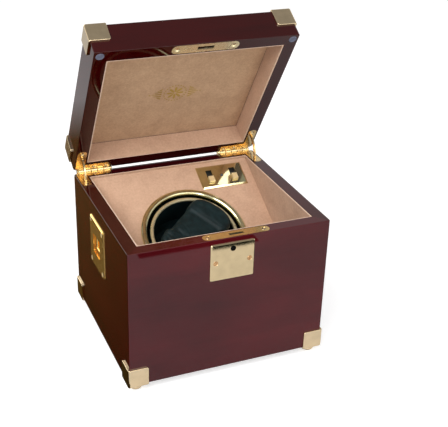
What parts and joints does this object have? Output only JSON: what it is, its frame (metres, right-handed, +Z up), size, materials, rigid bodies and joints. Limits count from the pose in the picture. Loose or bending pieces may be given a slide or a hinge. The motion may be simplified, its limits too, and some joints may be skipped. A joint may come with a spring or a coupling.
{
  "type": "watch winder box",
  "caption": "Lacquered wooden box with a hinged lid, brass corners, lock and handles, and an inclined suede deck that carries a motor-driven watch rotor.",
  "frame": {"origin": "on the surface the box stands on, under the centre of the base", "axes": "+X to the right and +Y to the back as seen from the lock side, +Z up"},
  "size_m": [0.1932, 0.2014, 0.3058],
  "materials": {
    "lacquered_wood": "dark red-brown wood under a deep high-gloss lacquer",
    "raw_board": "plain unfinished board",
    "suede": "soft tan suede over board",
    "polished_brass": "polished and lacquered brass",
    "gilt_hinge": "bright gilt brass",
    "black_plastic": "matt black moulded plastic",
    "white_nylon": "natural nylon",
    "steel": "plain plated steel",
    "bronze": "sintered bronze",
    "green_leather": "smooth dark green-black leather",
    "circuit_board": "green solder resist",
    "bumper_rubber": "soft grey-blue rubber",
    "lamp_lens": "small tinted lens, unlit"
  },
  "bodies": {
    "base": {"base_front_wall": "lacquered_wood", "base_back_wall": "lacquered_wood", "base_left_wall": "lacquered_wood", "base_right_wall": "lacquered_wood", "base_floor": "raw_board", "deck_battens": "raw_board", "base_lining_front": "suede", "base_lining_back": "suede", "base_lining_left": "suede", "base_lining_right": "suede", "winder_deck": "suede", "deck_ring": "polished_brass", "switch_plate": "polished_brass", "lock_plate": "polished_brass", "base_strike_plate": "polished_brass", "base_corner_caps": "polished_brass", "feet": "polished_brass", "left_handle_plate": "polished_brass", "right_handle_plate": "polished_brass", "base_screws": "polished_brass", "left_hinge_base_leaf": "gilt_hinge", "right_hinge_base_leaf": "gilt_hinge", "left_hinge_pin": "gilt_hinge", "right_hinge_pin": "gilt_hinge", "rotor_housing": "black_plastic", "switch_block": "black_plastic", "power_jack": "black_plastic", "gear_motor": "steel", "motor_plate": "steel", "lock_body": "steel", "rotor_bearing": "bronze", "control_board": "circuit_board", "indicator_lamp": "lamp_lens"},
    "lid": {"lid_front_rail": "lacquered_wood", "lid_back_rail": "lacquered_wood", "lid_left_rail": "lacquered_wood", "lid_right_rail": "lacquered_wood", "lid_top_panel": "lacquered_wood", "lid_lining_sides": "suede", "lid_lining_pad": "suede", "lid_bumpers": "bumper_rubber", "lid_strike_plate": "polished_brass", "lid_screws": "polished_brass", "lid_corner_caps": "polished_brass", "left_hinge_lid_leaf": "gilt_hinge", "right_hinge_lid_leaf": "gilt_hinge"},
    "left_quadrant": {"left_quadrant_stay": "gilt_hinge"},
    "right_quadrant": {"right_quadrant_stay": "gilt_hinge"},
    "rotor": {"rotor_cup": "black_plastic", "rotor_rim_ring": "polished_brass", "rotor_gear": "white_nylon", "cushion_seat": "black_plastic"},
    "cushion": {"watch_cushion": "green_leather"},
    "pinion": {"motor_pinion": "steel"},
    "timer_switch": {"timer_slider": "polished_brass"},
    "direction_switch": {"direction_slider": "polished_brass"},
    "lock_cylinder": {"lock_barrel": "steel"},
    "lock_tongue": {"lock_bolt": "steel"},
    "left_bail": {"left_handle_bail": "polished_brass"},
    "right_bail": {"right_handle_bail": "polished_brass"}
  },
  "joints": [
    {"name": "lid_hinge", "type": "hinge", "parent": "base", "child": "lid", "pos_m": [0, 0.0873, 0.14135], "axis": [-1, 0, 0], "range_deg": [-58, 0]},
    {"name": "left_quadrant_swing", "type": "hinge", "parent": "base", "child": "left_quadrant", "pos_m": [0, 0.0873, 0.14135], "axis": [-1, 0, 0], "range_deg": [-29, 0]},
    {"name": "right_quadrant_swing", "type": "hinge", "parent": "base", "child": "right_quadrant", "pos_m": [0, 0.0873, 0.14135], "axis": [-1, 0, 0], "range_deg": [-29, 0]},
    {"name": "rotor_spin", "type": "hinge", "parent": "base", "child": "rotor", "pos_m": [0, 0.00177, 0.09937], "axis": [0, -0.4863, 0.8738], "continuous": true},
    {"name": "pinion_spin", "type": "hinge", "parent": "base", "child": "pinion", "pos_m": [0.0288, 0.00177, 0.09937], "axis": [0, -0.4863, 0.8738], "continuous": true},
    {"name": "cushion_lift", "type": "slide", "parent": "rotor", "child": "cushion", "axis": [0, -0.4863, 0.8738], "range_m": [0, 0.05]},
    {"name": "timer_slide", "type": "slide", "parent": "base", "child": "timer_switch", "axis": [0, 0.8738, 0.4863], "range_m": [0, 0.008]},
    {"name": "direction_slide", "type": "slide", "parent": "base", "child": "direction_switch", "axis": [0, 0.8738, 0.4863], "range_m": [0, 0.008]},
    {"name": "lock_turn", "type": "hinge", "parent": "base", "child": "lock_cylinder", "pos_m": [0, -0.086, 0.1308], "axis": [0, -1, 0], "range_deg": [0, 90]},
    {"name": "lock_bolt_rise", "type": "slide", "parent": "base", "child": "lock_tongue", "axis": [0, 0, 1], "range_m": [0, 0.00424]},
    {"name": "left_bail_swing", "type": "hinge", "parent": "base", "child": "left_bail", "pos_m": [-0.0933, 0.005, 0.10895], "axis": [0, 1, 0], "range_deg": [0, 90]},
    {"name": "right_bail_swing", "type": "hinge", "parent": "base", "child": "right_bail", "pos_m": [0.0933, 0.005, 0.10895], "axis": [0, -1, 0], "range_deg": [0, 90]}
  ],
  "couplings": [
    {"joint": "left_quadrant_swing", "follows": "lid_hinge", "ratio": 0.5},
    {"joint": "right_quadrant_swing", "follows": "lid_hinge", "ratio": 0.5},
    {"joint": "pinion_spin", "follows": "rotor_spin", "ratio": -3},
    {"joint": "lock_turn", "follows": "lock_bolt_rise", "rad_per_m": 370.21}
  ]
}
